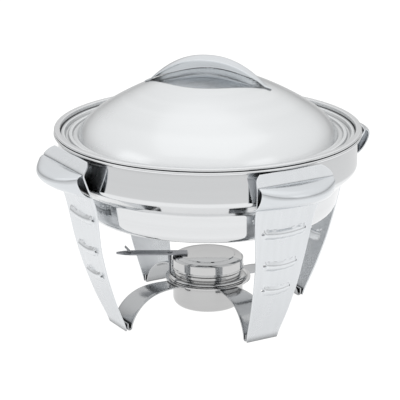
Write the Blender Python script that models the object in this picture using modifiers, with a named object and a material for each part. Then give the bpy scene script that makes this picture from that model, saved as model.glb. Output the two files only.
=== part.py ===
"""Round chafing dish with a lift-off lid, two pans, a four-legged frame and a fuel holder.

Metres, +Z up. The origin is on the floor under the centre of the pans, and the lid's handle
runs along X. The four legs stand on the diagonals.
"""
import math

import bmesh
import bpy

# Driving dimensions
OBJECT_NAME = "chafing_dish"
ROUND_STEPS = 40
SMALL_ROUND_STEPS = 24
PIN_STEPS = 12
GAP = 0.0003

RIM_RADIUS = 0.200
RIM_UNDERSIDE_Z = 0.2435
BEAD_RADIUS = 0.0020
PAN_SHEET = 0.0009
WALL_RADIUS = 0.1942
SHOULDER_Z = 0.2060
PAN_BOTTOM_Z = 0.1427
PAN_BOTTOM_RADIUS = 0.1555
PAN_CORNER = 0.0130

FOOD_STEP_RADIUS = 0.1915
FOOD_LEDGE_Z = 0.2440
FOOD_WALL_RADIUS = 0.1862
FOOD_BOTTOM_RADIUS = 0.1640
FOOD_BOTTOM_Z = 0.1940

LID_SHEET = 0.0009
LID_EDGE_RADIUS = 0.1905
LID_FLANGE_Z = 0.2465
LID_DOME_RADIUS = 0.1690
LID_BASE_Z = 0.2425
LID_CROWN_Z = 0.3270
SCOOP_HALF_LENGTH = 0.078
SCOOP_FRONT = 0.057
SCOOP_BACK = 0.012
SCOOP_DEPTH = 0.0115
SCOOP_LOWEST = 0.82

HANDLE_HALF_LENGTH = 0.0845
HANDLE_ARCH_HALF_LENGTH = 0.0770
HANDLE_FRONT = 0.0172
HANDLE_BACK = 0.0130
HANDLE_TIP_HALF_WIDTH = 0.0020
HANDLE_CREST_Z = 0.3455
HANDLE_CROWN = 0.0048
HANDLE_SHEET = 0.0016
SCREW_RADIUS = 0.0018
SCREW_HEAD_RADIUS = 0.0042
SCREW_OFFSET = 0.0795

LEG_ANGLES = {"front_left": 225.0, "front_right": 315.0, "back_right": 45.0, "back_left": 135.0}
LEG_SHEET = 0.0020
# Radius, height and full width of a leg's outer face, from the foot up to the top edge.
LEG_STATIONS = (
    (0.1360, 0.0000, 0.0445),
    (0.1360, 0.0025, 0.0452),
    (0.1532, 0.0400, 0.0548),
    (0.1675, 0.0800, 0.0640),
    (0.1781, 0.1200, 0.0710),
    (0.1845, 0.1600, 0.0818),
    (0.1895, 0.1860, 0.0885),
    (0.1990, 0.2020, 0.0950),
    (0.2120, 0.2300, 0.1110),
    (0.2055, 0.2365, 0.1075),
    (0.2015, 0.2405, 0.1010),
    (0.1990, 0.2430, 0.0900),
)
LOUVRES = ((0.1600, 0.0620), (0.1155, 0.0460), (0.0795, 0.0390))
LOUVRE_HEIGHT = 0.0100
LOUVRE_RISE = 0.0030

GRIP_REACH = 0.2425
GRIP_HALF_LENGTH = 0.0532
GRIP_END_REACH = 0.0070
GRIP_TOP_Z = 0.2303
GRIP_BOTTOM_Z = 0.1972
GRIP_SHEET = 0.0015

STRAP_SHEET = 0.0020
STRAP_BACK_RADIUS = 0.1337
STRAP_BACK_Z = 0.0100
STRAP_FOLD = 0.0017
STRAP_FOLD_Z = 0.0039
STRAP_BEND_RADIUS = 0.0590
STRAP_INNER_RADIUS = 0.0490
STRAP_TOP_Z = 0.0437
STRAP_FOOT_WIDTH = 0.0445
STRAP_INNER_WIDTH = 0.0260

RING_OUTER_RADIUS = 0.0565
RING_INNER_RADIUS = 0.0470
RING_SHEET = 0.0020

CUP_RADIUS = 0.0455
CUP_BOTTOM_Z = 0.0087
CUP_SHEET = 0.0008
FLANGE_RADIUS = 0.0525
COLLAR_TOP_Z = 0.0575
COLLAR_MOUTH_RADIUS = 0.0300
COLLAR_NECK_RADIUS = 0.0439
CAN_RADIUS = 0.0420
CAN_HEIGHT = 0.0439

COVER_RADIUS = 0.0470
COVER_BOTTOM_Z = 0.0585
COVER_TOP_Z = 0.0763
COVER_DISC_RADIUS = 0.0347
ARM_ANGLE = 195.5
ARM_INNER_RADIUS = 0.0270
ARM_TIP_RADIUS = 0.1210
ARM_WIDTH = 0.0150
ARM_TIP_WIDTH = 0.0030
ARM_TIP_LENGTH = 0.0130
ARM_SHEET = 0.0020
PIVOT_OFFSET = 0.0503
PIVOT_RADIUS = 0.0018
PIVOT_SLEEVE_RADIUS = 0.0025
PIVOT_SLEEVE_LENGTH = 0.0085
TAB_RADIUS = 0.1050
TAB_SIZE = (0.0130, 0.0050, 0.0018)
TAB_LEAN = 48.0


def clear_scene():
    for item in list(bpy.data.objects):
        bpy.data.objects.remove(item, do_unlink=True)


def make_collection(name):
    collection = bpy.data.collections.new(name)
    bpy.context.scene.collection.children.link(collection)
    return collection


def make_material(name, colour, roughness, metallic=1.0):
    material = bpy.data.materials.new(name)
    material.use_nodes = True
    shader = material.node_tree.nodes["Principled BSDF"]
    shader.inputs["Base Color"].default_value = (*colour, 1.0)
    shader.inputs["Roughness"].default_value = roughness
    shader.inputs["Metallic"].default_value = metallic
    return material


def make_object(name, mesh_data, material, collection):
    piece = bpy.data.objects.new(name, mesh_data)
    piece.data.materials.append(material)
    collection.objects.link(piece)
    return piece


def arc(centre, radius, start, end, count):
    """Points on an arc in the radius-height plane, angles in degrees, ends included."""
    points = []
    for step in range(count + 1):
        angle = math.radians(start + (end - start) * step / count)
        points.append((centre[0] + radius * math.cos(angle), centre[1] + radius * math.sin(angle)))
    return points


def smooth_round(mesh_data, angle=35.0):
    mesh_data.shade_smooth()
    mesh_data.set_sharp_from_angle(angle=math.radians(angle))


def profile_mesh(name, profile, closed):
    builder = bmesh.new()
    corners = [builder.verts.new((radius, 0.0, height)) for radius, height in profile]
    for first, second in zip(corners, corners[1:]):
        builder.edges.new((first, second))
    if closed:
        builder.edges.new((corners[-1], corners[0]))
    mesh_data = bpy.data.meshes.new(name)
    builder.to_mesh(mesh_data)
    builder.free()
    return mesh_data


def add_screw(piece, steps):
    screw = piece.modifiers.new("turn", "SCREW")
    screw.axis = "Z"
    screw.angle = math.tau
    screw.steps = steps
    screw.render_steps = steps
    screw.use_merge_vertices = True
    screw.merge_threshold = 0.00001
    screw.use_smooth_shade = True
    return screw


def add_solidify(piece, thickness, offset):
    shell = piece.modifiers.new("sheet", "SOLIDIFY")
    shell.thickness = thickness
    shell.offset = offset
    shell.use_even_offset = True
    return shell


def turned_sheet(name, profile, thickness, steps, material, collection):
    """A sheet-metal shell: the profile is its outer face, from the top down to the axis."""
    piece = make_object(name, profile_mesh(name, profile, False), material, collection)
    add_screw(piece, steps)
    add_solidify(piece, thickness, -1.0)
    return piece


def turned_solid(name, profile, steps, material, collection):
    """A solid turned from a closed profile, or from one whose two ends are on the axis."""
    closed = profile[0][0] > 0.0
    piece = make_object(name, profile_mesh(name, profile, closed), material, collection)
    add_screw(piece, steps)
    return piece


def sheet_from_rows(name, rows, thickness, material, collection, offset=-1.0):
    """A bent sheet: a grid of points, thickened with Solidify."""
    builder = bmesh.new()
    grid = [[builder.verts.new(point) for point in row] for row in rows]
    for lower, upper in zip(grid, grid[1:]):
        for column in range(len(lower) - 1):
            builder.faces.new((lower[column], lower[column + 1], upper[column + 1], upper[column]))
    mesh_data = bpy.data.meshes.new(name)
    builder.to_mesh(mesh_data)
    builder.free()
    piece = make_object(name, mesh_data, material, collection)
    add_solidify(piece, thickness, offset)
    smooth_round(mesh_data)
    return piece


def add_cut(piece, cutter, operation="DIFFERENCE"):
    cut = piece.modifiers.new("cut", "BOOLEAN")
    cut.operation = operation
    cut.solver = "EXACT"
    cut.object = cutter
    return cut


def dome_height(radius):
    """Height of the lid's outer face over its domed part."""
    share = min(radius / LID_DOME_RADIUS, 1.0)
    crown = LID_CROWN_Z - LID_BASE_Z
    return LID_BASE_Z + crown * (1.0 - 0.86 * share ** 1.68 - 0.14 * share ** 20)


def water_pan(material, collection):
    bead_centre = (RIM_RADIUS - BEAD_RADIUS, RIM_UNDERSIDE_Z + BEAD_RADIUS)
    profile = arc(bead_centre, BEAD_RADIUS, 60.0, -90.0, 4)
    profile += [(WALL_RADIUS, RIM_UNDERSIDE_Z), (WALL_RADIUS, SHOULDER_Z)]
    profile += arc((WALL_RADIUS - 0.0130, SHOULDER_Z), 0.0130, -20.0, -60.0, 2)
    profile += [(0.1738, 0.1815)]
    profile += arc((PAN_BOTTOM_RADIUS, PAN_BOTTOM_Z + PAN_CORNER), PAN_CORNER, -14.0, -90.0, 4)
    profile += [(0.0, PAN_BOTTOM_Z)]
    return turned_sheet("water_pan", profile, PAN_SHEET, ROUND_STEPS, material, collection)


def food_pan(material, collection):
    low = RIM_UNDERSIDE_Z + 2.0 * BEAD_RADIUS + GAP
    bead_centre = (RIM_RADIUS - 0.0006 - BEAD_RADIUS, low + BEAD_RADIUS)
    profile = arc(bead_centre, BEAD_RADIUS, -60.0, 90.0, 4)
    profile += arc((FOOD_STEP_RADIUS + 0.0015, low + 2.0 * BEAD_RADIUS - 0.0015), 0.0015, 90.0, 180.0, 2)
    profile += [(FOOD_STEP_RADIUS, FOOD_LEDGE_Z), (FOOD_WALL_RADIUS, FOOD_LEDGE_Z)]
    profile += [(FOOD_BOTTOM_RADIUS + 0.0060, FOOD_BOTTOM_Z + 0.0080)]
    profile += arc((FOOD_BOTTOM_RADIUS, FOOD_BOTTOM_Z + 0.0060), 0.0060, -20.0, -90.0, 2)
    profile += [(0.0, FOOD_BOTTOM_Z)]
    piece = make_object("food_pan", profile_mesh("food_pan", profile, False), material, collection)
    add_screw(piece, ROUND_STEPS)
    add_solidify(piece, PAN_SHEET, 1.0)
    return piece


def scoop_depth(x, y):
    """How far the finger hollow in front of the lid's handle is pressed down at (x, y)."""
    along = 1.0 - (x / SCOOP_HALF_LENGTH) ** 2
    if along <= 0.0:
        return 0.0
    share = (y + SCOOP_FRONT * along) / ((SCOOP_FRONT + SCOOP_BACK) * along)
    if not 0.0 < share < 1.0:
        return 0.0
    if share < SCOOP_LOWEST:
        press = math.sin(0.5 * math.pi * share / SCOOP_LOWEST)
    else:
        press = math.cos(0.5 * math.pi * (share - SCOOP_LOWEST) / (1.0 - SCOOP_LOWEST))
    return SCOOP_DEPTH * along ** 0.5 * press


def lid_cover(material, collection, cutters):
    rings = 17
    profile = []
    for ring in range(rings + 1):
        radius = LID_DOME_RADIUS * (ring / rings) ** 1.1
        profile.append((radius, dome_height(radius)))
    profile += [(0.1712, 0.2412), (0.1742, 0.2412), (0.1758, 0.2446), (0.1798, 0.2446)]
    profile += [(0.1816, 0.2416), (0.1840, 0.2416), (0.1862, LID_FLANGE_Z), (0.1890, LID_FLANGE_Z)]
    profile += [(LID_EDGE_RADIUS, LID_FLANGE_Z - 0.0008), (LID_EDGE_RADIUS, FOOD_LEDGE_Z + GAP)]
    mesh_data = profile_mesh("lid_cover", profile, False)
    builder = bmesh.new()
    builder.from_mesh(mesh_data)
    bmesh.ops.spin(builder, geom=builder.verts[:] + builder.edges[:], cent=(0, 0, 0), axis=(0, 0, 1),
                   angle=math.tau, steps=ROUND_STEPS, use_merge=True, dvec=(0, 0, 0))
    bmesh.ops.remove_doubles(builder, verts=builder.verts[:], dist=0.00001)
    bmesh.ops.recalc_face_normals(builder, faces=builder.faces[:])
    for corner in builder.verts:
        corner.co.z -= scoop_depth(corner.co.x, corner.co.y)
    top_face = max(builder.faces, key=lambda face: face.calc_center_median().z)
    if top_face.normal.z < 0.0:
        bmesh.ops.reverse_faces(builder, faces=builder.faces[:])
    builder.to_mesh(mesh_data)
    builder.free()
    smooth_round(mesh_data)
    piece = make_object("lid_cover", mesh_data, material, collection)
    add_solidify(piece, LID_SHEET, -1.0)
    for side in (-1, 1):
        cutter = round_cutter("lid_screw_hole", SCREW_RADIUS + GAP, 0.290, 0.320,
                              (side * SCREW_OFFSET, 0.0), cutters)
        add_cut(piece, cutter)
    return piece


def round_cutter(name, radius, low, high, place, cutters):
    bpy.ops.mesh.primitive_cylinder_add(vertices=16, radius=radius, depth=high - low,
                                        location=(place[0], place[1], 0.5 * (low + high)))
    cutter = bpy.context.object
    cutter.name = name
    for home in list(cutter.users_collection):
        home.objects.unlink(cutter)
    cutters.objects.link(cutter)
    cutter.hide_render = True
    cutter.display_type = "WIRE"
    return cutter


def handle_crest(x):
    """Height of the lid handle's outer face over its centre line: an arch with a tongue at each end."""
    tongue = GAP + 1.2 * HANDLE_SHEET
    reach = abs(x)
    if reach >= HANDLE_ARCH_HALF_LENGTH:
        return dome_height(reach) + tongue
    low = dome_height(HANDLE_ARCH_HALF_LENGTH) + tongue
    return low + (HANDLE_CREST_Z - low) * (1.0 - (reach / HANDLE_ARCH_HALF_LENGTH) ** 2.2)


def handle_stations():
    """Places along the lid handle, closer together towards the ends of its arch."""
    stations = 14
    turns = [0.5 * math.pi * (2.0 * station / stations - 1.0) for station in range(stations + 1)]
    arch = [HANDLE_ARCH_HALF_LENGTH * math.sin(turn) for turn in turns]
    return [-HANDLE_HALF_LENGTH, *arch, HANDLE_HALF_LENGTH]


def handle_section(x):
    """Across the lid handle: from its free front edge over the crest and down its closed back."""
    share = 1.0 - (x / HANDLE_HALF_LENGTH) ** 2
    front = HANDLE_TIP_HALF_WIDTH + (HANDLE_FRONT - HANDLE_TIP_HALF_WIDTH) * share ** 0.8
    back = HANDLE_TIP_HALF_WIDTH + (HANDLE_BACK - HANDLE_TIP_HALF_WIDTH) * share ** 0.8
    crest = handle_crest(x)
    points = []
    for step in range(3):
        lean = 1.0 - step / 3
        points.append((x, -front * lean, crest - HANDLE_CROWN * share * lean ** 2))
    seat = dome_height(math.hypot(x, back))
    flatness = 1.0 - min(1.0, (crest - seat) / 0.012)
    foot = seat + 2.0 * GAP + 1.2 * HANDLE_SHEET * flatness
    for step in range(5):
        turn = 0.5 * math.pi * step / 4
        points.append((x, back * math.sin(turn), foot + max(0.0, crest - foot) * math.cos(turn)))
    return points


def lid_handle(material, collection):
    """A hood over the finger hollow: an arched sheet, open in front and closed behind."""
    sections = [handle_section(x) for x in handle_stations()]
    rows = [list(row) for row in zip(*sections)]
    return sheet_from_rows("lid_handle", rows, HANDLE_SHEET, material, collection)


def lid_handle_screw(name, side, material, collection):
    """A screw from inside the lid, with its head under it and its end at the handle."""
    surface = dome_height(SCREW_OFFSET)
    head_top = surface - 0.0036
    head_bottom = head_top - 0.0020
    end = handle_crest(SCREW_OFFSET + SCREW_RADIUS) - 1.2 * HANDLE_SHEET - GAP
    profile = [(0.0, end), (SCREW_RADIUS, end), (SCREW_RADIUS, head_top), (SCREW_HEAD_RADIUS, head_top),
               (SCREW_HEAD_RADIUS, head_bottom + 0.0008), (SCREW_HEAD_RADIUS - 0.0012, head_bottom),
               (0.0, head_bottom)]
    piece = turned_solid(name, profile, PIN_STEPS, material, collection)
    piece.location.x = side * SCREW_OFFSET
    return piece


def louvre_rise(height, across):
    """How far a leg's face is pressed outwards at a height and a distance from its middle."""
    rise = 0.0
    for middle, width in LOUVRES:
        up = abs(height - middle) / (0.5 * LOUVRE_HEIGHT)
        side = abs(across) / (0.5 * width)
        if up < 1.0 and side < 1.0:
            rise = LOUVRE_RISE * (1.0 - up ** 2)
    return rise


def leg_face(height):
    """Radius and full width of a leg's outer face at a height below its crease."""
    for low, high in zip(LEG_STATIONS, LEG_STATIONS[1:]):
        if low[1] <= height <= high[1]:
            share = (height - low[1]) / (high[1] - low[1])
            return tuple(low[part] + share * (high[part] - low[part]) for part in (0, 2))
    return LEG_STATIONS[-1][0], LEG_STATIONS[-1][2]


def leg_rows():
    heights = {station[1] for station in LEG_STATIONS}
    for middle, _ in LOUVRES:
        heights |= {middle - 0.5 * LOUVRE_HEIGHT, middle, middle + 0.5 * LOUVRE_HEIGHT}
    rows = []
    for height in sorted(heights):
        radius, width = leg_face(height)
        row = []
        for share in (-1.0, -0.74, -0.56, 0.0, 0.56, 0.74, 1.0):
            across = 0.5 * width * share
            row.append((radius + louvre_rise(height, across), across, height))
        rows.append(row)
    return rows


def leg_panel(name, angle, material, collection):
    piece = sheet_from_rows(name, leg_rows(), LEG_SHEET, material, collection)
    piece.rotation_euler.z = math.radians(angle)
    return piece


def grip(name, angle, material, collection):
    """A crescent handle: a half-round sheet, widest in the middle, open at both ends."""
    columns = 8
    bends = 7
    middle = 0.5 * (GRIP_TOP_Z + GRIP_BOTTOM_Z)
    half_height = 0.5 * (GRIP_TOP_Z - GRIP_BOTTOM_Z)
    full_reach = GRIP_REACH - leg_face(middle)[0] - 0.0060
    rows = []
    for bend in range(bends + 1):
        turn = math.pi * (bend / bends - 0.5)
        row = []
        for column in range(columns + 1):
            share = 2.0 * column / columns - 1.0
            height = middle + half_height * math.sin(turn)
            bulge = GRIP_END_REACH + (full_reach - GRIP_END_REACH) * (1.0 - abs(share) ** 1.8)
            seat = leg_face(min(height + GRIP_SHEET + GAP, GRIP_TOP_Z))[0] + 2.0 * GAP
            radius = seat + bulge * math.cos(turn)
            row.append((radius, share * GRIP_HALF_LENGTH, height))
        rows.append(row)
    piece = sheet_from_rows(name, rows, GRIP_SHEET, material, collection)
    piece.rotation_euler.z = math.radians(angle)
    return piece


def strap(name, angle, material, collection):
    """A burner strap: a fold at the leg's foot, then an arch that runs in under the ring."""
    fold_centre = (STRAP_BACK_RADIUS - STRAP_SHEET - STRAP_FOLD, STRAP_FOLD_Z)
    path = [(fold_centre[0] + STRAP_FOLD, STRAP_BACK_Z)]
    path += arc(fold_centre, STRAP_FOLD, 0.0, -180.0, 6)
    start = path[-1][0]
    bends = 10
    for bend in range(1, bends + 1):
        turn = 0.5 * math.pi * bend / bends
        reach = max(0.0, math.cos(turn)) ** 0.7
        rise = math.sin(turn) ** 1.4
        path.append((STRAP_BEND_RADIUS + (start - STRAP_BEND_RADIUS) * reach,
                     STRAP_FOLD_Z + (STRAP_TOP_Z - STRAP_FOLD_Z) * rise))
    path.append((STRAP_INNER_RADIUS, STRAP_TOP_Z))
    rows = []
    for radius, height in path:
        share = min(1.0, max(0.0, (start - radius) / (start - STRAP_INNER_RADIUS)))
        width = STRAP_FOOT_WIDTH + (STRAP_INNER_WIDTH - STRAP_FOOT_WIDTH) * share
        rows.append([(radius, 0.5 * width * side, height) for side in (-1.0, 0.0, 1.0)])
    piece = sheet_from_rows(name, rows, STRAP_SHEET, material, collection)
    piece.rotation_euler.z = math.radians(angle)
    return piece


def burner_ring(material, collection):
    bottom = STRAP_TOP_Z + GAP
    top = bottom + RING_SHEET
    profile = [(RING_INNER_RADIUS, top), (RING_OUTER_RADIUS, top), (RING_OUTER_RADIUS, bottom),
               (RING_INNER_RADIUS, bottom)]
    return turned_solid("burner_ring", profile, SMALL_ROUND_STEPS, material, collection)


def flange_bottom():
    return STRAP_TOP_Z + RING_SHEET + 2.0 * GAP


def fuel_cup(material, collection):
    flange = flange_bottom()
    profile = [(FLANGE_RADIUS, flange), (CUP_RADIUS, flange)]
    profile += arc((CUP_RADIUS - 0.0080, CUP_BOTTOM_Z + 0.0080), 0.0080, 0.0, -90.0, 4)
    profile += [(0.0, CUP_BOTTOM_Z)]
    return turned_sheet("fuel_cup", profile, CUP_SHEET, SMALL_ROUND_STEPS, material, collection)


def fuel_collar(material, collection):
    base = flange_bottom() + CUP_SHEET + GAP
    profile = [(COLLAR_MOUTH_RADIUS, COLLAR_TOP_Z)]
    profile += arc((CUP_RADIUS - 0.0020, COLLAR_TOP_Z - 0.0020), 0.0020, 90.0, 0.0, 2)
    profile += [(CUP_RADIUS - 0.0002, base + 0.0060), (COLLAR_NECK_RADIUS, base + 0.0030)]
    profile += [(COLLAR_NECK_RADIUS + 0.0010, base + 0.0015), (FLANGE_RADIUS - 0.0006, base + CUP_SHEET)]
    return turned_sheet("fuel_collar", profile, CUP_SHEET, SMALL_ROUND_STEPS, material, collection)


def fuel_can(material, collection):
    bottom = CUP_BOTTOM_Z + CUP_SHEET + GAP
    top = bottom + CAN_HEIGHT
    profile = [(0.0, top - 0.0010), (0.0200, top - 0.0010), (0.0205, top - 0.0025)]
    profile += [(CAN_RADIUS - 0.0025, top - 0.0025), (CAN_RADIUS - 0.0020, top), (CAN_RADIUS, top)]
    profile += [(CAN_RADIUS, top - 0.0030), (CAN_RADIUS - 0.0010, top - 0.0045)]
    profile += [(CAN_RADIUS - 0.0010, bottom + 0.0080), (CAN_RADIUS - 0.0060, bottom), (0.0, bottom)]
    return turned_solid("fuel_can", profile, SMALL_ROUND_STEPS, material, collection)


def snuffer_cover(material, collection):
    top = COVER_TOP_Z
    profile = [(0.0, top), (COVER_DISC_RADIUS, top), (COVER_DISC_RADIUS + 0.0012, top - 0.0012)]
    profile += [(COVER_RADIUS - 0.0040, top - 0.0016)]
    profile += arc((COVER_RADIUS - 0.0020, top - 0.0036), 0.0020, 70.0, 0.0, 2)
    profile += [(COVER_RADIUS, COVER_BOTTOM_Z + 0.0026), (COVER_RADIUS + 0.0008, COVER_BOTTOM_Z + 0.0016)]
    profile += [(COVER_RADIUS + 0.0008, COVER_BOTTOM_Z)]
    return turned_sheet("snuffer_cover", profile, CUP_SHEET, SMALL_ROUND_STEPS, material, collection)


def pivot_place():
    turn = math.radians(ARM_ANGLE)
    return PIVOT_OFFSET * math.cos(turn), PIVOT_OFFSET * math.sin(turn)


def snuffer_arm(material, collection, cutters):
    """A flat lever welded to the cover; its thumb tab stands up near the tip."""
    under = COVER_TOP_Z + GAP
    length = ARM_TIP_RADIUS - ARM_INNER_RADIUS
    rows = []
    stations = 10
    for share_across in (-1.0, -0.4, 0.4, 1.0):
        row = []
        for station in range(stations + 1):
            along = length * station / stations
            taper = max(0.0, 1.0 - (length - along) / ARM_TIP_LENGTH)
            width = ARM_WIDTH + (ARM_TIP_WIDTH - ARM_WIDTH) * taper
            row.append((ARM_INNER_RADIUS + along, 0.5 * width * share_across, under + ARM_SHEET))
        rows.append(row)
    piece = sheet_from_rows("snuffer_arm", rows, ARM_SHEET, material, collection)
    piece.rotation_euler.z = math.radians(ARM_ANGLE)
    hole = round_cutter("arm_pivot_hole", PIVOT_RADIUS + GAP, under - 0.005, under + 0.008,
                        pivot_place(), cutters)
    add_cut(piece, hole)
    turn = math.radians(ARM_ANGLE)
    centre = (TAB_RADIUS * math.cos(turn), TAB_RADIUS * math.sin(turn), under + ARM_SHEET + 0.0032)
    bpy.ops.mesh.primitive_cube_add(size=1.0, location=centre)
    tab = bpy.context.object
    tab.name = "arm_thumb_tab"
    tab.scale = TAB_SIZE
    tab.rotation_euler = (0.0, -math.radians(TAB_LEAN), turn)
    for home in list(tab.users_collection):
        home.objects.unlink(tab)
    cutters.objects.link(tab)
    tab.hide_render = True
    tab.display_type = "WIRE"
    add_cut(piece, tab, "UNION")
    return piece


def pivot_pin(material, collection):
    """The upright pin on the cup's flange that the snuffer swings on."""
    under = COVER_TOP_Z + GAP
    bottom = flange_bottom() + 2.0 * CUP_SHEET + 2.0 * GAP + 0.0008
    head = under + ARM_SHEET + GAP
    sleeve_top = under - GAP
    sleeve_bottom = sleeve_top - PIVOT_SLEEVE_LENGTH
    profile = [(0.0, head + 0.0014), (0.0028, head + 0.0010), (0.0034, head), (PIVOT_RADIUS, head)]
    profile += [(PIVOT_RADIUS, sleeve_top), (PIVOT_SLEEVE_RADIUS, sleeve_top)]
    profile += [(PIVOT_SLEEVE_RADIUS, sleeve_bottom), (PIVOT_RADIUS - 0.0004, sleeve_bottom)]
    profile += [(PIVOT_RADIUS - 0.0004, bottom), (0.0, bottom)]
    piece = turned_solid("pivot_pin", profile, PIN_STEPS, material, collection)
    piece.location = (*pivot_place(), 0.0)
    return piece


def build():
    clear_scene()
    parts = make_collection(OBJECT_NAME)
    cutters = make_collection("cutters")
    satin = make_material("satin_steel", (0.72, 0.74, 0.76), 0.24)
    polished = make_material("polished_steel", (0.80, 0.81, 0.83), 0.10)
    grey = make_material("grip_steel", (0.62, 0.65, 0.69), 0.22)
    dark = make_material("arm_steel", (0.30, 0.31, 0.33), 0.35)
    tin = make_material("can_tin", (0.66, 0.66, 0.64), 0.40)

    water_pan(polished, parts)
    food_pan(polished, parts)
    lid_cover(satin, parts, cutters)
    lid_handle(grey, parts)
    lid_handle_screw("lid_handle_screw_left", -1, dark, parts)
    lid_handle_screw("lid_handle_screw_right", 1, dark, parts)
    for corner, angle in LEG_ANGLES.items():
        leg_panel("leg_" + corner, angle, satin, parts)
        grip("grip_" + corner, angle, grey, parts)
        strap("strap_" + corner, angle, satin, parts)
    burner_ring(polished, parts)
    fuel_cup(polished, parts)
    fuel_collar(polished, parts)
    fuel_can(tin, parts)
    snuffer_cover(polished, parts)
    snuffer_arm(dark, parts, cutters)
    pivot_pin(dark, parts)


build()
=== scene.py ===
import math

import bmesh
import bpy
from mathutils import Matrix, Vector


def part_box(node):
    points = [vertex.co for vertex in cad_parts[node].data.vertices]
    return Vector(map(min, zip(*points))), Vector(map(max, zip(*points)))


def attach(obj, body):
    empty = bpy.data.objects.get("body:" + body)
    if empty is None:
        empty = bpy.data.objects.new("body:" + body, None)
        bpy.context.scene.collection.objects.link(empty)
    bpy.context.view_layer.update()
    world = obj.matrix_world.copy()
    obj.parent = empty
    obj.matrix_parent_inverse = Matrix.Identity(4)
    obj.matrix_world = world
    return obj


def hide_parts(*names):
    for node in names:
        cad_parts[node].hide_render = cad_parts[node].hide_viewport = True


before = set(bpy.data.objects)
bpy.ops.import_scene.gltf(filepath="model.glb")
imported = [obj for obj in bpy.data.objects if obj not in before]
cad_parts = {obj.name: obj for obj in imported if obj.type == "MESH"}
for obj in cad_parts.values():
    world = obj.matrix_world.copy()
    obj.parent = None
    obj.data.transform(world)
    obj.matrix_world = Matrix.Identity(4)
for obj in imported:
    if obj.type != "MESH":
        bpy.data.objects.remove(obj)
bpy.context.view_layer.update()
print("frame loaded:", len(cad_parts), "nodes")

legAngles = {"front_left": 225.0, "front_right": 315.0, "back_right": 45.0, "back_left": 135.0}
hairline = 0.0003  # the clearance kept between touching sheets


# small tools

def filletPath(corners, steps=5):
    # corners are (x, z, fillet radius); each rounded corner becomes a short arc
    points = []
    for index, corner in enumerate(corners):
        here = Vector(corner[:2])
        radius = corner[2] if len(corner) > 2 else 0.0
        if radius <= 0.0 or index in (0, len(corners) - 1):
            points.append(here)
            continue
        back = Vector(corners[index - 1][:2]) - here
        ahead = Vector(corners[index + 1][:2]) - here
        half = 0.5 * back.angle(ahead)
        reach = min(radius / math.tan(half), 0.48 * back.length, 0.48 * ahead.length)
        start = here + back.normalized() * reach
        end = here + ahead.normalized() * reach
        for step in range(steps + 1):
            t = step / steps
            points.append((1 - t) ** 2 * start + 2 * t * (1 - t) * here + t ** 2 * end)
    return [(point.x, point.y) for point in points]


def arcPoints(centre, radius, start, end, steps):
    turns = [math.radians(start + (end - start) * step / steps) for step in range(steps + 1)]
    return [(centre[0] + radius * math.cos(t), centre[1] + radius * math.sin(t)) for t in turns]


def softenShading(meshData, angle=32.0):
    meshData.shade_smooth()
    meshData.set_sharp_from_angle(angle=math.radians(angle))


def newPiece(name, meshData, material):
    piece = bpy.data.objects.new(name, meshData)
    meshData.materials.append(material)
    bpy.context.scene.collection.objects.link(piece)
    return piece


def settle(piece, body, slotName, *nodes):
    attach(piece, body)
    if nodes:
        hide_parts(*nodes)
    return piece


def thicken(piece, thickness, offset=-1.0, edge=0.0):
    shell = piece.modifiers.new("sheet", "SOLIDIFY")
    shell.thickness = thickness
    shell.offset = offset
    shell.use_even_offset = True
    if edge:
        rounding = piece.modifiers.new("edge", "BEVEL")
        rounding.width = edge
        rounding.segments = 2
        rounding.limit_method = "ANGLE"
        rounding.angle_limit = math.radians(50.0)
        rounding.harden_normals = False
    return piece


def turnedMesh(name, profile, steps, closed=False):
    builder = bmesh.new()
    corners = [builder.verts.new((radius, 0.0, height)) for radius, height in profile]
    for first, second in zip(corners, corners[1:]):
        builder.edges.new((first, second))
    if closed:
        builder.edges.new((corners[-1], corners[0]))
    bmesh.ops.spin(builder, geom=builder.verts[:] + builder.edges[:], cent=(0, 0, 0), axis=(0, 0, 1),
                   angle=math.tau, steps=steps, use_merge=True, dvec=(0, 0, 0))
    bmesh.ops.remove_doubles(builder, verts=builder.verts[:], dist=0.000005)
    bmesh.ops.recalc_face_normals(builder, faces=builder.faces[:])
    meshData = bpy.data.meshes.new(name)
    builder.to_mesh(meshData)
    builder.free()
    return meshData


def faceUpwards(meshData, spot):
    # turns the whole sheet over if its face nearest to the spot points down or inwards
    face = min(meshData.polygons, key=lambda item: (item.center - Vector(spot)).length)
    outward = Vector((face.center.x, face.center.y, 0.0)).normalized() + Vector((0.0, 0.0, 1.0))
    if face.normal.dot(outward) < 0.0:
        meshData.flip_normals()


def turnedPiece(name, profile, material, steps=160, sheet=0.0, side=-1.0, edge=0.0, closed=False):
    meshData = turnedMesh(name, profile, steps, closed)
    if sheet:
        faceUpwards(meshData, (profile[0][0], 0.0, profile[0][1]))
    softenShading(meshData)
    piece = newPiece(name, meshData, material)
    if sheet:
        thicken(piece, sheet, side, edge)
    return piece


def gridPiece(name, rows, material, sheet, edge=0.0, turn=0.0):
    # rows of points: each row runs across, and rows follow each other up the outer face
    builder = bmesh.new()
    grid = [[builder.verts.new(point) for point in row] for row in rows]
    for low, high in zip(grid, grid[1:]):
        for column in range(len(low) - 1):
            builder.faces.new((low[column], low[column + 1], high[column + 1], high[column]))
    meshData = bpy.data.meshes.new(name)
    builder.to_mesh(meshData)
    builder.free()
    softenShading(meshData)
    piece = newPiece(name, meshData, material)
    piece.rotation_euler.z = math.radians(turn)
    thicken(piece, sheet, -1.0, edge)
    return piece


# shader groups shared by the steels

def newGroup(name, inputs, outputs):
    group = bpy.data.node_groups.new(name, "ShaderNodeTree")
    for label, kind, value in inputs:
        socket = group.interface.new_socket(name=label, in_out="INPUT", socket_type=kind)
        socket.default_value = value
    for label, kind in outputs:
        group.interface.new_socket(name=label, in_out="OUTPUT", socket_type=kind)
    return group, group.nodes.new("NodeGroupInput"), group.nodes.new("NodeGroupOutput")


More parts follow.
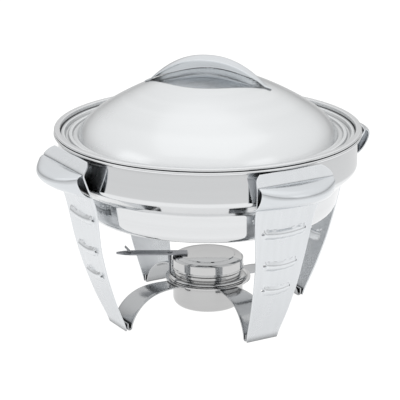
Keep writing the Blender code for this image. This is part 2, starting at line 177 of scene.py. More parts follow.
def addNode(tree, kind, settings=None, values=None):
    node = tree.nodes.new(kind)
    for key, value in (settings or {}).items():
        setattr(node, key, value)
    for key, value in (values or {}).items():
        node.inputs[key].default_value = value
    return node


def wire(tree, *pairs):
    for source, target in pairs:
        tree.links.new(source, target)


def makeTurnedGrain():
    # fine rings around the Z axis, as a polishing wheel leaves on a spun part
    group, given, result = newGroup(
        "turnedGrain",
        [("Ring Density", "NodeSocketFloat", 900.0), ("Waviness", "NodeSocketFloat", 3.0)],
        [("Height", "NodeSocketFloat"), ("Streak", "NodeSocketFloat")])
    place = addNode(group, "ShaderNodeTexCoord")
    split = addNode(group, "ShaderNodeSeparateXYZ")
    flat = addNode(group, "ShaderNodeCombineXYZ")
    length = addNode(group, "ShaderNodeVectorMath", {"operation": "LENGTH"})
    unit = addNode(group, "ShaderNodeVectorMath", {"operation": "NORMALIZE"})
    around = addNode(group, "ShaderNodeVectorMath", {"operation": "SCALE"})
    turn = addNode(group, "ShaderNodeSeparateXYZ")
    reach = addNode(group, "ShaderNodeMath", {"operation": "ADD"})
    dense = addNode(group, "ShaderNodeMath", {"operation": "MULTIPLY"})
    joined = addNode(group, "ShaderNodeCombineXYZ")
    noise = addNode(group, "ShaderNodeTexNoise", {}, {"Scale": 1.0, "Detail": 4.0, "Roughness": 0.6})
    slow = addNode(group, "ShaderNodeTexNoise", {}, {"Scale": 0.12, "Detail": 2.0})
    wire(group,
         (place.outputs["Object"], split.inputs[0]),
         (split.outputs["X"], flat.inputs["X"]), (split.outputs["Y"], flat.inputs["Y"]),
         (flat.outputs[0], length.inputs[0]), (flat.outputs[0], unit.inputs[0]),
         (unit.outputs[0], around.inputs[0]), (given.outputs["Waviness"], around.inputs["Scale"]),
         (around.outputs[0], turn.inputs[0]),
         (length.outputs["Value"], reach.inputs[0]), (split.outputs["Z"], reach.inputs[1]),
         (reach.outputs[0], dense.inputs[0]), (given.outputs["Ring Density"], dense.inputs[1]),
         (turn.outputs["X"], joined.inputs["X"]), (turn.outputs["Y"], joined.inputs["Y"]),
         (dense.outputs[0], joined.inputs["Z"]),
         (joined.outputs[0], noise.inputs["Vector"]), (joined.outputs[0], slow.inputs["Vector"]),
         (noise.outputs[0], result.inputs["Height"]), (slow.outputs[0], result.inputs["Streak"]))
    return group


def makeLineGrain():
    # straight hairlines that run along one direction of the piece
    group, given, result = newGroup(
        "lineGrain",
        [("Stretch", "NodeSocketVector", (900.0, 900.0, 6.0))],
        [("Height", "NodeSocketFloat"), ("Streak", "NodeSocketFloat")])
    place = addNode(group, "ShaderNodeTexCoord")
    scaled = addNode(group, "ShaderNodeVectorMath", {"operation": "MULTIPLY"})
    noise = addNode(group, "ShaderNodeTexNoise", {}, {"Scale": 1.0, "Detail": 4.0, "Roughness": 0.6})
    slow = addNode(group, "ShaderNodeTexNoise", {}, {"Scale": 0.1, "Detail": 2.0})
    wire(group,
         (place.outputs["Object"], scaled.inputs[0]), (given.outputs["Stretch"], scaled.inputs[1]),
         (scaled.outputs[0], noise.inputs["Vector"]), (scaled.outputs[0], slow.inputs["Vector"]),
         (noise.outputs[0], result.inputs["Height"]), (slow.outputs[0], result.inputs["Streak"]))
    return group


def makeHandling():
    # faint wipe marks and water spots that change the gloss in soft patches
    group, given, result = newGroup(
        "handling",
        [("Patch Size", "NodeSocketFloat", 14.0), ("Spot Size", "NodeSocketFloat", 260.0)],
        [("Patches", "NodeSocketFloat"), ("Spots", "NodeSocketFloat")])
    place = addNode(group, "ShaderNodeTexCoord")
    patches = addNode(group, "ShaderNodeTexNoise", {}, {"Detail": 5.0, "Roughness": 0.62, "Distortion": 0.6})
    softened = addNode(group, "ShaderNodeMapRange", {"interpolation_type": "SMOOTHSTEP"},
                       {"From Min": 0.38, "From Max": 0.72})
    spots = addNode(group, "ShaderNodeTexVoronoi", {"feature": "F1"}, {"Randomness": 1.0})
    rings = addNode(group, "ShaderNodeMapRange", {"interpolation_type": "SMOOTHSTEP"},
                    {"From Min": 0.05, "From Max": 0.22, "To Min": 1.0, "To Max": 0.0})
    sparse = addNode(group, "ShaderNodeTexNoise", {}, {"Scale": 9.0, "Detail": 1.0})
    few = addNode(group, "ShaderNodeMapRange", {}, {"From Min": 0.56, "From Max": 0.70})
    kept = addNode(group, "ShaderNodeMath", {"operation": "MULTIPLY"})
    wire(group,
         (place.outputs["Object"], patches.inputs["Vector"]),
         (given.outputs["Patch Size"], patches.inputs["Scale"]),
         (patches.outputs[0], softened.inputs["Value"]), (softened.outputs[0], result.inputs["Patches"]),
         (place.outputs["Object"], spots.inputs["Vector"]),
         (given.outputs["Spot Size"], spots.inputs["Scale"]),
         (spots.outputs["Distance"], rings.inputs["Value"]),
         (place.outputs["Object"], sparse.inputs["Vector"]), (sparse.outputs[0], few.inputs["Value"]),
         (rings.outputs[0], kept.inputs[0]), (few.outputs[0], kept.inputs[1]),
         (kept.outputs[0], result.inputs["Spots"]))
    return group


def makeEdgeRubAndShade():
    # rubbed ridges, found from how far a bevelled normal leans from the true one, and painted shade that
    # darkens recesses, found by ambient occlusion
    group, given, result = newGroup(
        "edgeRubAndShade",
        [("Reach", "NodeSocketFloat", 0.0012), ("Gain", "NodeSocketFloat", 6.0),
         ("Recess", "NodeSocketFloat", 0.012)],
        [("Rub", "NodeSocketFloat"), ("Recess Shade", "NodeSocketFloat")])
    rounded = addNode(group, "ShaderNodeBevel", {"samples": 4})
    true = addNode(group, "ShaderNodeNewGeometry")
    lean = addNode(group, "ShaderNodeVectorMath", {"operation": "DISTANCE"})
    gained = addNode(group, "ShaderNodeMath", {"operation": "MULTIPLY", "use_clamp": True})
    shelter = addNode(group, "ShaderNodeAmbientOcclusion", {"samples": 6})
    hollow = addNode(group, "ShaderNodeMapRange", {"interpolation_type": "SMOOTHSTEP"},
                     {"From Min": 0.25, "From Max": 0.85, "To Min": 1.0, "To Max": 0.0})
    wire(group,
         (given.outputs["Reach"], rounded.inputs["Radius"]),
         (rounded.outputs["Normal"], lean.inputs[0]), (true.outputs["Normal"], lean.inputs[1]),
         (lean.outputs["Value"], gained.inputs[0]), (given.outputs["Gain"], gained.inputs[1]),
         (given.outputs["Recess"], shelter.inputs["Distance"]),
         (shelter.outputs["AO"], hollow.inputs["Value"]),
         (hollow.outputs["Result"], result.inputs["Recess Shade"]),
         (gained.outputs[0], result.inputs["Rub"]))
    return group


turnedGrain = makeTurnedGrain()
lineGrain = makeLineGrain()
handling = makeHandling()
edgeRubAndShade = makeEdgeRubAndShade()


def steelMaterial(name, look):
    material = bpy.data.materials.new(name)
    material.use_nodes = True
    tree = material.node_tree
    shader = tree.nodes["Principled BSDF"]
    shader.inputs["Metallic"].default_value = 1.0
    grain = addNode(tree, "ShaderNodeGroup", {"node_tree": lineGrain if "stretch" in look else turnedGrain})
    if "stretch" in look:
        grain.inputs["Stretch"].default_value = look["stretch"]
    else:
        grain.inputs["Ring Density"].default_value = look["rings"]
    marks = addNode(tree, "ShaderNodeGroup", {"node_tree": handling})
    marks.inputs["Patch Size"].default_value = look.get("patches", 14.0)
    rubAndShade = addNode(tree, "ShaderNodeGroup", {"node_tree": edgeRubAndShade})
    tone = addNode(tree, "ShaderNodeMix", {"data_type": "RGBA"})
    tone.inputs["A"].default_value = (*look["colour"], 1.0)
    tone.inputs["B"].default_value = (*[value * 0.93 for value in look["colour"]], 1.0)
    worn = addNode(tree, "ShaderNodeMix", {"data_type": "RGBA"})
    worn.inputs["B"].default_value = (*[min(1.0, value * 1.10) for value in look["colour"]], 1.0)
    # painted shade: where ambient occlusion finds a recess, the base colour is darkened
    paintedShade = addNode(tree, "ShaderNodeMix", {"data_type": "RGBA"})
    paintedShade.inputs["B"].default_value = (*[value * look.get("recess", 0.35) for value in look["colour"]], 1.0)
    rough = addNode(tree, "ShaderNodeMapRange", {}, {"To Min": look["rough"][0], "To Max": look["rough"][1]})
    spotted = addNode(tree, "ShaderNodeMath", {"operation": "MULTIPLY_ADD"}, {1: 0.10})
    bump = addNode(tree, "ShaderNodeBump", {}, {"Strength": look["grain"], "Distance": 0.0001})
    wire(tree,
         (grain.outputs["Streak"], tone.inputs["Factor"]),
         (tone.outputs["Result"], worn.inputs["A"]), (rubAndShade.outputs["Rub"], worn.inputs["Factor"]),
         (worn.outputs["Result"], paintedShade.inputs["A"]), (rubAndShade.outputs["Recess Shade"], paintedShade.inputs["Factor"]),
         (paintedShade.outputs["Result"], shader.inputs["Base Color"]),
         (marks.outputs["Patches"], rough.inputs["Value"]),
         (marks.outputs["Spots"], spotted.inputs[0]), (rough.outputs["Result"], spotted.inputs[2]),
         (spotted.outputs[0], shader.inputs["Roughness"]),
         (grain.outputs["Height"], bump.inputs["Height"]),
         (bump.outputs["Normal"], shader.inputs["Normal"]))
    return material


steelLooks = {
    "lidSatin": {"colour": (0.84, 0.855, 0.865), "rough": (0.20, 0.28), "rings": 1400.0, "grain": 0.08},
    "panMirror": {"colour": (0.78, 0.79, 0.80), "rough": (0.05, 0.10), "rings": 900.0, "grain": 0.03},
    "panInside": {"colour": (0.76, 0.77, 0.78), "rough": (0.18, 0.28), "rings": 1100.0, "grain": 0.10},
    "legSatin": {"colour": (0.76, 0.78, 0.80), "rough": (0.24, 0.34),
                 "stretch": (500.0, 1500.0, 9.0), "grain": 0.05},
    "gripSteel": {"colour": (0.72, 0.745, 0.77), "rough": (0.14, 0.22),
                  "stretch": (900.0, 10.0, 900.0), "grain": 0.06},
    "handleSteel": {"colour": (0.76, 0.785, 0.81), "rough": (0.12, 0.20),
                    "stretch": (8.0, 1100.0, 900.0), "grain": 0.06},
    # painted shade: the straps' steel is much darker than the legs' to stand for the shade they sit in under
    # the pan
    "strapSteelShaded": {"colour": (0.50, 0.51, 0.52), "rough": (0.12, 0.20),
                   "stretch": (500.0, 1500.0, 9.0), "grain": 0.05},
    "burnerMirror": {"colour": (0.60, 0.60, 0.60), "rough": (0.04, 0.09), "rings": 1000.0, "grain": 0.03},
    "armSteel": {"colour": (0.30, 0.31, 0.33), "rough": (0.30, 0.42),
                 "stretch": (9.0, 1200.0, 1200.0), "grain": 0.12},
    "canTin": {"colour": (0.66, 0.66, 0.63), "rough": (0.30, 0.42), "rings": 700.0, "grain": 0.16},
}
steels = {name: steelMaterial(name, look) for name, look in steelLooks.items()}
print("materials made:", len(steels))


# pans

panLow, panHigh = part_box("water_pan")
waterPan = {
    "rim": panHigh.x, "top": panHigh.z, "bottom": panLow.z, "sheet": 0.0009, "bead": 0.0020,
    "wall": 0.1942, "shoulderTop": 0.2015, "shoulderIn": 0.1742, "shoulderLow": 0.1830,
    "base": 0.1655, "corner": 0.0190,
}


def makeWaterPan():
    p = waterPan
    under = p["top"] - 2.0 * p["bead"]
    profile = arcPoints((p["rim"] - p["bead"], under + p["bead"]), p["bead"], 120.0, -90.0, 14)
    profile += filletPath([
        (p["rim"] - p["bead"] - 0.0002, under), (p["wall"], under, 0.0010),
        (p["wall"], p["shoulderTop"], 0.0110), (p["shoulderIn"], p["shoulderLow"], 0.0080),
        (p["base"], p["bottom"], p["corner"]), (0.0, p["bottom"])], 10)
    piece = turnedPiece("waterPanBody", profile, steels["panMirror"], 192, p["sheet"], -1.0)
    return settle(piece, "water_pan", "polished_steel", "water_pan")


foodLow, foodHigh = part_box("food_pan")
foodPan = {
    "rim": foodHigh.x, "top": foodHigh.z, "floor": foodLow.z + 0.0009, "bead": 0.0020, "sheet": 0.0009,
    "step": 0.1915, "ledge": 0.2440, "wall": 0.1862, "base": 0.1690,
}


def makeFoodPan():
    p = foodPan
    profile = arcPoints((p["rim"] - p["bead"], p["top"] - p["bead"]), p["bead"], -110.0, 90.0, 14)
    profile += filletPath([
        (p["rim"] - p["bead"] - 0.0002, p["top"]), (p["step"], p["top"], 0.0016),
        (p["step"], p["ledge"], 0.0010), (p["wall"], p["ledge"], 0.0014),
        (p["base"], p["floor"], 0.0120), (0.0, p["floor"])], 7)
    piece = turnedPiece("foodPanBody", profile, steels["panInside"], 192, p["sheet"], 1.0)
    return settle(piece, "food_pan", "polished_steel", "food_pan")


makeWaterPan()
makeFoodPan()
print("pans made")


# lid

lidLow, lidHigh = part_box("lid_cover")
lid = {
    "edge": lidHigh.x, "hem": lidLow.z, "dome": 0.1690, "domeBase": 0.2425, "crown": 0.3270,
    "flange": 0.2465, "sheet": 0.0009,
    # the finger hollow in front of the handle; its lowest line lies at a share of its width
    "scoopHalfLength": 0.078, "scoopFront": 0.057, "scoopBack": 0.012,
    "scoopDepth": 0.0115, "scoopLowest": 0.82,
    # the locating groove between the dome and the flange
    "groove": 0.2414, "grooveIn": 0.1712, "grooveOut": 0.1744, "grooveFillet": 0.0010,
    "rib": 0.2446, "ribIn": 0.1760, "ribOut": 0.1798,
    "channel": 0.2416, "channelIn": 0.1814, "channelOut": 0.1840, "flangeIn": 0.1860, "edgeFillet": 0.0011,
}


def domeHeight(radius):
    share = min(radius / lid["dome"], 1.0)
    rise = lid["crown"] - lid["domeBase"]
    return lid["domeBase"] + rise * (1.0 - 0.86 * share ** 1.68 - 0.14 * share ** 20)


def scoopDepth(x, y):
    # a leaf-shaped hollow that slopes gently down from the front and rises steeply under the handle
    p = lid
    along = 1.0 - (x / p["scoopHalfLength"]) ** 2
    if along <= 0.0:
        return 0.0
    share = (y + p["scoopFront"] * along) / ((p["scoopFront"] + p["scoopBack"]) * along)
    if not 0.0 < share < 1.0:
        return 0.0
    if share < p["scoopLowest"]:
        press = math.sin(0.5 * math.pi * share / p["scoopLowest"])
    else:
        press = math.cos(0.5 * math.pi * (share - p["scoopLowest"]) / (1.0 - p["scoopLowest"]))
    return p["scoopDepth"] * along ** 0.5 * press


def makeLidShell():
    rings = 96
    profile = []
    for ring in range(rings + 1):
        radius = lid["dome"] * ring / rings
        profile.append((radius, domeHeight(radius)))
    p = lid
    fillet = p["grooveFillet"]
    profile += filletPath([
        (p["dome"] + 0.0004, p["groove"] + 0.0006), (p["grooveIn"], p["groove"], fillet),
        (p["grooveOut"], p["groove"], fillet), (p["ribIn"], p["rib"], fillet),
        (p["ribOut"], p["rib"], fillet), (p["channelIn"], p["channel"], fillet),
        (p["channelOut"], p["channel"], fillet), (p["flangeIn"], p["flange"], fillet),
        (p["edge"], p["flange"], p["edgeFillet"]), (p["edge"], p["hem"])], 4)
    meshData = turnedMesh("lidShell", profile, 240)
    faceUpwards(meshData, (0.1, 0.0, domeHeight(0.1)))
    for corner in meshData.vertices:
        corner.co.z -= scoopDepth(corner.co.x, corner.co.y)
    softenShading(meshData)
    piece = newPiece("lidShell", meshData, steels["lidSatin"])
    thicken(piece, lid["sheet"])
    return settle(piece, "lid", "satin_steel", "lid_cover")


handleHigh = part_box("lid_handle")[1]
lidHandle = {
    "halfLength": handleHigh.x, "archHalfLength": 0.0770, "front": 0.0160, "back": 0.0130,
    "tipHalfWidth": 0.0020, "crest": handleHigh.z, "crown": 0.0036, "sheet": 0.0016, "seatBlend": 0.012,
    "tongueLift": 1.2, "archPower": 2.2, "planPower": 0.8,
}


def handleCrest(x):
    # an arch with a short tongue at each end that lies on the dome
    p = lidHandle
    lift = hairline + p["tongueLift"] * p["sheet"]
    reach = min(abs(x), p["archHalfLength"])
    low = domeHeight(p["archHalfLength"]) + lift
    arch = low + (p["crest"] - low) * (1.0 - (reach / p["archHalfLength"]) ** p["archPower"])
    return domeHeight(abs(x)) + lift if abs(x) > p["archHalfLength"] else arch


def handleSection(x):
    # from the free front edge over the crest and down the closed back to just above the lid
    p = lidHandle
    steps = 18
    share = max(0.0, 1.0 - (x / p["halfLength"]) ** 2)
    front = p["tipHalfWidth"] + (p["front"] - p["tipHalfWidth"]) * share ** p["planPower"]
    back = p["tipHalfWidth"] + (p["back"] - p["tipHalfWidth"]) * share ** p["planPower"]
    crest = handleCrest(x)
    seat = domeHeight(math.hypot(x, back))
    flatness = 1.0 - min(1.0, (crest - seat) / p["seatBlend"])
    foot = seat + 2.0 * hairline + p["tongueLift"] * p["sheet"] * flatness
    points = []
    for step in range(steps):
        lean = 1.0 - step / steps
        points.append((x, -front * lean, crest - p["crown"] * share * lean ** 2))
    for step in range(steps + 1):
        turn = 0.5 * math.pi * step / steps
        points.append((x, back * math.sin(turn), foot + max(0.0, crest - foot) * math.cos(turn)))
    return points


def makeLidHandle():
    # a hood over the finger hollow, open in front and closed behind
    p = lidHandle
    stations = 72
    turns = [0.5 * math.pi * (2.0 * station / stations - 1.0) for station in range(stations + 1)]
    sections = [handleSection(p["halfLength"] * math.sin(turn)) for turn in turns]
    rows = [list(row) for row in zip(*sections)]
    piece = gridPiece("lidHandleArch", rows, steels["handleSteel"], p["sheet"], 0.0004)
    return settle(piece, "lid", "grip_steel", "lid_handle")


makeLidShell()
makeLidHandle()
for side in ("left", "right"):
    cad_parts["lid_handle_screw_" + side].data.materials[0] = steels["armSteel"]
print("lid made")


# frame: legs, grips, straps and ring

leg = {
    "sheet": 0.0020, "edge": 0.0004,
    # radius, height and full width of the outer face
    "stations": [
        (0.1360, 0.0000, 0.0445), (0.1360, 0.0025, 0.0452), (0.1532, 0.0400, 0.0548),
        (0.1675, 0.0800, 0.0640), (0.1781, 0.1200, 0.0710), (0.1845, 0.1600, 0.0818),
        (0.1895, 0.1860, 0.0885), (0.1990, 0.2020, 0.0950), (0.2120, 0.2300, 0.1110),
        (0.2055, 0.2365, 0.1075), (0.2015, 0.2405, 0.1010), (0.1990, 0.2430, 0.0900)],
    "crease": 0.2300,
    # height and full width of each louvre
    "louvres": [(0.1600, 0.0600), (0.1155, 0.0450), (0.0795, 0.0380)],
    "louvreHeight": 0.0128, "louvreRise": 0.0045, "louvreSag": 0.0034, "louvreHole": 0.0018,
}


def legCurve():
    # the outer face's radius and width as smooth functions of height, up to the crease
    rounded = []
    stations = leg["stations"]
    for first, second in zip(stations, stations[1:]):
        pieces = max(2, int(math.hypot(second[0] - first[0], second[1] - first[1]) / 0.0016))
        for piece in range(pieces):
            t = piece / pieces
            rounded.append([a + (b - a) * t for a, b in zip(first, second)])
    rounded.append(list(stations[-1]))
    last = max(index for index, row in enumerate(rounded) if row[1] <= leg["crease"] + 0.00001)
    for sweep in range(60):  # relaxes the polygon below the crease into one sweep, then rounds the crease
        end = last if sweep < 52 else len(rounded) - 1
        for part in (0, 2):
            before = [row[part] for row in rounded]
            for index in range(1, end):
                rounded[index][part] = 0.5 * before[index] + 0.25 * (before[index - 1] + before[index + 1])
    return rounded


def louvrePress(height, across):
    rise = 0.0
    for middle, width in leg["louvres"]:
        side = abs(across) / (0.5 * width)
        centre = middle - leg["louvreSag"] * (1.0 - side ** 2)
        up = (height - centre) / (0.5 * leg["louvreHeight"])
        if abs(up) < 1.0 and side < 1.0:
            ends = min(1.0, (1.0 - side) / 0.10)
            rise = leg["louvreRise"] * math.cos(0.5 * math.pi * up) ** 0.8 * ends ** 0.5
    return rise


legSweep = legCurve()


def legFace(height):
    for low, high in zip(legSweep, legSweep[1:]):
        if low[1] <= height <= high[1]:
            t = (height - low[1]) / max(high[1] - low[1], 0.000001)
            return low[0] + t * (high[0] - low[0]), low[2] + t * (high[2] - low[2])
    return legSweep[-1][0], legSweep[-1][2]


def makeLeg(corner, angle):
    columns = 60
    rows = []
    for radius, height, width in legSweep:
        row = []
        for column in range(columns + 1):
            across = 0.5 * width * (2.0 * column / columns - 1.0)
            row.append((radius + louvrePress(height, across), across, height))
        rows.append(row)
    piece = gridPiece("legSheet_" + corner, rows, steels["legSatin"], leg["sheet"], leg["edge"], angle)
    for index, (middle, width) in enumerate(leg["louvres"]):
        for side in (-1, 1):
            spot = legFace(middle)[0]
            place = Matrix.Rotation(math.radians(angle), 4, "Z") @ Vector(
                (spot, side * (0.5 * width + 0.0008), middle + 0.0004))
            bpy.ops.mesh.primitive_cylinder_add(vertices=20, radius=leg["louvreHole"], depth=0.02,
                                                location=place,
                                                rotation=(0, math.radians(90), math.radians(angle)))
            punch = bpy.context.object
            punch.name = f"punch_{corner}_{index}_{side + 1}"
            cut = piece.modifiers.new("hole", "BOOLEAN")
            cut.object = punch
            cut.solver = "EXACT"
            punches.append(punch)
    return settle(piece, "frame", "satin_steel", "leg_" + corner)


punches = []
grip = {
    "halfLength": 0.0532, "top": 0.2303, "bottom": 0.1972, "reach": 0.2425, "inset": 0.006,
    "endReach": 0.0095, "bow": 2.3, "sheet": 0.0015, "edge": 0.0004,
}


def makeGrip(corner, angle):
    p = grip
    columns, bends = 48, 32
    middle = 0.5 * (p["top"] + p["bottom"])
    halfHeight = 0.5 * (p["top"] - p["bottom"])
    fullReach = p["reach"] - legFace(middle)[0] - p["inset"]
    rows = []
    for bend in range(bends + 1):
        turn = math.pi * (bend / bends - 0.5)
        height = middle + halfHeight * math.sin(turn)
        seat = legFace(min(height + p["sheet"] + hairline, p["top"]))[0] + 2.0 * hairline
        row = []
        for column in range(columns + 1):
            share = 2.0 * column / columns - 1.0
            bulge = p["endReach"] + (fullReach - p["endReach"]) * (1.0 - abs(share) ** p["bow"])
            row.append((seat + bulge * math.cos(turn), share * p["halfLength"], height))
        rows.append(row)
    piece = gridPiece("gripShell_" + corner, rows, steels["gripSteel"], p["sheet"], p["edge"], angle)
    return settle(piece, "frame", "grip_steel", "grip_" + corner)


strap = {
    "back": 0.1337, "backTop": 0.0100, "fold": 0.0017, "foldHeight": 0.0038, "bend": 0.0590,
    "inner": 0.0490, "top": 0.0437, "sheet": 0.0020, "footWidth": 0.0445, "innerWidth": 0.0260,
    "edge": 0.0004, "reachPower": 0.7, "risePower": 1.4,
}


def makeStrap(corner, angle):
    # a hairpin fold behind the leg's foot, then an arch that runs in under the ring
    p = strap
    bends, columns = 44, 8
    foldRadius = p["back"] - p["sheet"] - p["fold"]
    path = [(foldRadius + p["fold"], p["backTop"])]
    path += arcPoints((foldRadius, p["foldHeight"]), p["fold"], 0.0, -180.0, 16)
    start = path[-1][0]
    for bend in range(1, bends + 1):
        turn = 0.5 * math.pi * bend / bends
        reach = max(0.0, math.cos(turn)) ** p["reachPower"]
        rise = math.sin(turn) ** p["risePower"]
        path.append((p["bend"] + (start - p["bend"]) * reach,
                     p["foldHeight"] + (p["top"] - p["foldHeight"]) * rise))
    path.append((p["inner"], p["top"]))
    rows = []
    for radius, height in path:
        share = min(1.0, max(0.0, (start - radius) / (start - p["inner"])))
        width = p["footWidth"] + (p["innerWidth"] - p["footWidth"]) * share
        rows.append([(radius, width * (column / columns - 0.5), height) for column in range(columns + 1)])
    piece = gridPiece("strapArch_" + corner, rows, steels["strapSteelShaded"], p["sheet"], p["edge"], angle)
    return settle(piece, "frame", "satin_steel", "strap_" + corner)


for corner, angle in legAngles.items():
    makeLeg(corner, angle)
    makeGrip(corner, angle)
    makeStrap(corner, angle)
for punch in punches:
    punch.hide_render = True
    punch.display_type = "WIRE"

ringLow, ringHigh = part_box("burner_ring")
ring = {"inner": 0.0470, "fillet": 0.0004}
ringProfile = filletPath([
    (ring["inner"], ringHigh.z - 0.001), (ring["inner"], ringHigh.z, ring["fillet"]),
    (ringHigh.x, ringHigh.z, ring["fillet"]), (ringHigh.x, ringLow.z, ring["fillet"]),
    (ring["inner"], ringLow.z, ring["fillet"]), (ring["inner"], ringHigh.z - 0.0012)], 3)
ringPiece = turnedPiece("burnerRingPlate", ringProfile, steels["burnerMirror"], 128, closed=True)
settle(ringPiece, "frame", "polished_steel", "burner_ring")
print("frame made")


# fuel holder and snuffer

cupLow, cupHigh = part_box("fuel_cup")
cup = {"wall": 0.0455, "flange": cupHigh.x, "bottom": cupLow.z, "top": cupHigh.z - 0.0008, "sheet": 0.0008,
       "neck": 0.0437, "mouth": 0.0300}
cupProfile = filletPath([
    (cup["flange"], cup["top"]), (cup["wall"], cup["top"], 0.0008), (cup["wall"], cup["bottom"], 0.0110),
    (0.0, cup["bottom"])], 9)
cupPiece = turnedPiece("fuelCupBody", cupProfile, steels["burnerMirror"], 128)
thicken(cupPiece, cup["sheet"], -1.0)
settle(cupPiece, "fuel_holder", "polished_steel", "fuel_cup")

collarLow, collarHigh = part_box("fuel_collar")
collarBase = collarLow.z
collarProfile = filletPath([
    (cup["mouth"], collarHigh.z), (cup["wall"], collarHigh.z, 0.0020),
    (cup["wall"] - 0.0002, collarBase + 0.0060, 0.0020),
    (cup["neck"], collarBase + 0.0022, 0.0014), (collarHigh.x, collarBase + 0.0009)], 6)
collarPiece = turnedPiece("fuelCollarShell", collarProfile, steels["burnerMirror"], 128, 0.0008)
settle(collarPiece, "fuel_holder", "polished_steel", "fuel_collar")

coverLow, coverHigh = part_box("snuffer_cover")
cover = {"disc": 0.0347, "wall": 0.0470, "lip": coverHigh.x, "top": coverHigh.z, "bottom": coverLow.z}
coverProfile = filletPath([
    (0.0, cover["top"]), (cover["disc"], cover["top"], 0.0006),
    (cover["disc"] + 0.0012, cover["top"] - 0.0012, 0.0006),
    (cover["wall"] - 0.0030, cover["top"] - 0.0020, 0.0010), (cover["wall"], cover["top"] - 0.0040, 0.0016),
    (cover["wall"], cover["bottom"] + 0.0030, 0.0008), (cover["lip"], cover["bottom"] + 0.0018, 0.0006),
    (cover["lip"], cover["bottom"])], 5)
coverPiece = turnedPiece("snufferCoverShell", coverProfile, steels["burnerMirror"], 128, 0.0008)
settle(coverPiece, "snuffer", "polished_steel", "snuffer_cover")
for name, look in (("fuel_can", "canTin"), ("snuffer_arm", "armSteel"), ("pivot_pin", "armSteel")):
    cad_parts[name].data.materials[0] = steels[look]
print("fuel holder made")


# floor, light and camera

stage = {
    "floorSize": 12.0, "floorColour": (0.05, 0.05, 0.05),
    # share of the ring span from the centre, and brightness in reflections: a painted shade under the object
    # and a painted pool of light round it
    "floorRing": [(0.0, 0.84), (0.10, 0.88), (0.16, 0.97), (0.30, 0.96), (0.50, 0.72), (1.0, 0.60)],
    "ringSpan": 1.6, "azimuth": 14.5, "elevation": 17.05,
    # from straight down, through the horizon at 0.5, to straight up
    "sky": [(0.0, 0.80), (0.49, 0.55), (0.52, 0.40), (0.58, 0.66), (0.70, 0.90), (1.0, 1.0)],
    "distance": 2.66, "aimHeight": 0.170, "lens": 182.9, "shiftX": -0.01975, "shiftY": -0.0360,
}


def fillRamp(ramp, stops):
    ramp.elements[0].position, ramp.elements[1].position = stops[0][0], stops[-1][0]
    for element, value in ((ramp.elements[0], stops[0][1]), (ramp.elements[1], stops[-1][1])):
        element.color = (value, value, value, 1.0)
    for position, value in stops[1:-1]:
        ramp.elements.new(position).color = (value, value, value, 1.0)


def makeFloor():
    # white where it is seen directly; in reflections it glows, with painted shade under the object and a
    # painted pool of light in a ring round it
    bpy.ops.mesh.primitive_plane_add(size=stage["floorSize"], location=(0, 0, 0))
    floor = bpy.context.object
    floor.name = "paleFloor"
    material = bpy.data.materials.new("floorGlowAndPaintedShade")
    material.use_nodes = True
    tree = material.node_tree
    shader = tree.nodes["Principled BSDF"]
    shader.inputs["Base Color"].default_value = (*stage["floorColour"], 1.0)
    shader.inputs["Roughness"].default_value = 0.85
    shader.inputs["Emission Strength"].default_value = 1.0
    place = addNode(tree, "ShaderNodeTexCoord")
    reach = addNode(tree, "ShaderNodeVectorMath", {"operation": "LENGTH"})
    share = addNode(tree, "ShaderNodeMapRange", {}, {"From Max": stage["ringSpan"]})
    ring = addNode(tree, "ShaderNodeValToRGB")
    ring.color_ramp.interpolation = "EASE"
    fillRamp(ring.color_ramp, stage["floorRing"])
    path = addNode(tree, "ShaderNodeLightPath")
    seen = addNode(tree, "ShaderNodeMix", {"data_type": "RGBA"})
    seen.inputs["B"].default_value = (1.0, 1.0, 1.0, 1.0)
    wire(tree,
         (place.outputs["Object"], reach.inputs[0]), (reach.outputs["Value"], share.inputs["Value"]),
         (share.outputs["Result"], ring.inputs["Fac"]), (ring.outputs["Color"], seen.inputs["A"]),
         (path.outputs["Is Camera Ray"], seen.inputs["Factor"]),
         (seen.outputs["Result"], shader.inputs["Emission Color"]))
    floor.data.materials.append(material)


def makeLight(name, place, size, power):
    lamp = bpy.data.lights.new(name, "AREA")
    lamp.shape = "RECTANGLE"
    lamp.size, lamp.size_y = size
    lamp.energy = power
    holder = bpy.data.objects.new(name, lamp)
    holder.location = place
    holder.rotation_euler = (Vector(lightTarget) - Vector(place)).to_track_quat("-Z", "Y").to_euler()
    bpy.context.scene.collection.objects.link(holder)


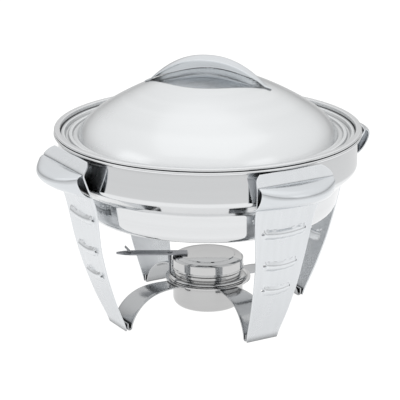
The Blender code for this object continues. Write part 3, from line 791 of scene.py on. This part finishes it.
def makeWorld():
    world = bpy.data.worlds.new("studioRoom")
    bpy.context.scene.world = world
    world.use_nodes = True
    tree = world.node_tree
    back = tree.nodes["Background"]
    direction = addNode(tree, "ShaderNodeTexCoord")
    split = addNode(tree, "ShaderNodeSeparateXYZ")
    ramp = addNode(tree, "ShaderNodeValToRGB")
    fillRamp(ramp.color_ramp, stage["sky"])
    height = addNode(tree, "ShaderNodeMapRange", {}, {"From Min": -1.0, "From Max": 1.0})
    path = addNode(tree, "ShaderNodeLightPath")
    seen = addNode(tree, "ShaderNodeMix", {"data_type": "RGBA"})
    seen.inputs["B"].default_value = (1.0, 1.0, 1.0, 1.0)
    wire(tree,
         (direction.outputs["Generated"], split.inputs[0]), (split.outputs["Z"], height.inputs["Value"]),
         (height.outputs["Result"], ramp.inputs["Fac"]), (ramp.outputs["Color"], seen.inputs["A"]),
         (path.outputs["Is Camera Ray"], seen.inputs["Factor"]),
         (seen.outputs["Result"], back.inputs["Color"]))
    back.inputs["Strength"].default_value = 1.0


def makeCamera():
    camera = bpy.data.cameras.new("studioCamera")
    camera.sensor_width = 36.0
    camera.lens = stage["lens"]
    camera.shift_x = stage["shiftX"]
    camera.shift_y = stage["shiftY"]
    camera.clip_end = 50.0
    holder = bpy.data.objects.new("studioCamera", camera)
    azimuth, elevation = math.radians(stage["azimuth"]), math.radians(stage["elevation"])
    back = Vector((math.sin(azimuth) * math.cos(elevation), -math.cos(azimuth) * math.cos(elevation),
                   math.sin(elevation)))
    aim = Vector((0.0, 0.0, stage["aimHeight"]))
    holder.location = aim + back * stage["distance"]
    holder.rotation_euler = (-back).to_track_quat("-Z", "Y").to_euler()
    bpy.context.scene.collection.objects.link(holder)
    bpy.context.scene.camera = holder


lightTarget = (0.0, 0.0, 0.2)
makeFloor()
makeWorld()
makeLight("overheadSoftbox", (0.0, -0.2, 1.9), (1.8, 1.8), 0.8)
makeLight("leftSoftbox", (-1.9, -1.2, 1.1), (1.2, 1.6), 1.2)
makeLight("rightSoftbox", (1.9, -0.9, 1.0), (1.0, 1.6), 0.8)
makeCamera()
bpy.context.scene.view_settings.view_transform = "Standard"
print("stage made")
